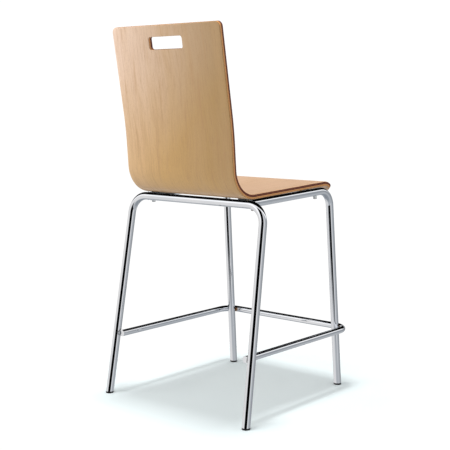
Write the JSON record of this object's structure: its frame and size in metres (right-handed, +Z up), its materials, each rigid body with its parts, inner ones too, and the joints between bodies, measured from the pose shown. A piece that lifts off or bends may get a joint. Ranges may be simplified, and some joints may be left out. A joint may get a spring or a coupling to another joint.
{
  "type": "stacking chair",
  "caption": "Counter-height stacking chair: one-piece bent plywood seat and back with a hand slot, on a chromed tube frame with a wrap-round footrest.",
  "frame": {"origin": "on the floor, at the middle of the chair's footprint box", "axes": "+Z up, -Y the way the sitter faces, +X to the sitter's left"},
  "size_m": [0.5352, 0.5468, 1.042],
  "materials": {
    "plywood": "satin clear lacquer on light veneer, darker plies at the edges",
    "chrome": "bright chrome plate",
    "weld": "plated weld metal with a straw heat tint",
    "black_plastic": "satin black",
    "clear_plastic": "clear, slightly milky",
    "zinc": "zinc plated",
    "brass": "machined"
  },
  "bodies": {
    "root": {"seat_shell": "plywood", "rear_leg_frame": "chrome", "side_frame_left": "chrome", "side_frame_right": "chrome", "footrest_rail": "chrome", "footrest_front_welds": "weld", "footrest_rear_welds": "weld", "seat_rail_welds": "weld", "tab_rear_left": "chrome", "tab_rear_right": "chrome", "tab_front_left": "chrome", "tab_front_right": "chrome", "spacer_rear_left": "black_plastic", "spacer_rear_right": "black_plastic", "spacer_front_left": "black_plastic", "spacer_front_right": "black_plastic", "seat_screws": "zinc", "screw_washers": "zinc", "threaded_inserts": "brass", "glide_rear_left": "black_plastic", "glide_rear_right": "black_plastic", "glide_front_left": "black_plastic", "glide_front_right": "black_plastic", "bumper_rear_left": "clear_plastic", "bumper_rear_right": "clear_plastic", "bumper_front_left": "clear_plastic", "bumper_front_right": "clear_plastic"}
  },
  "joints": []
}
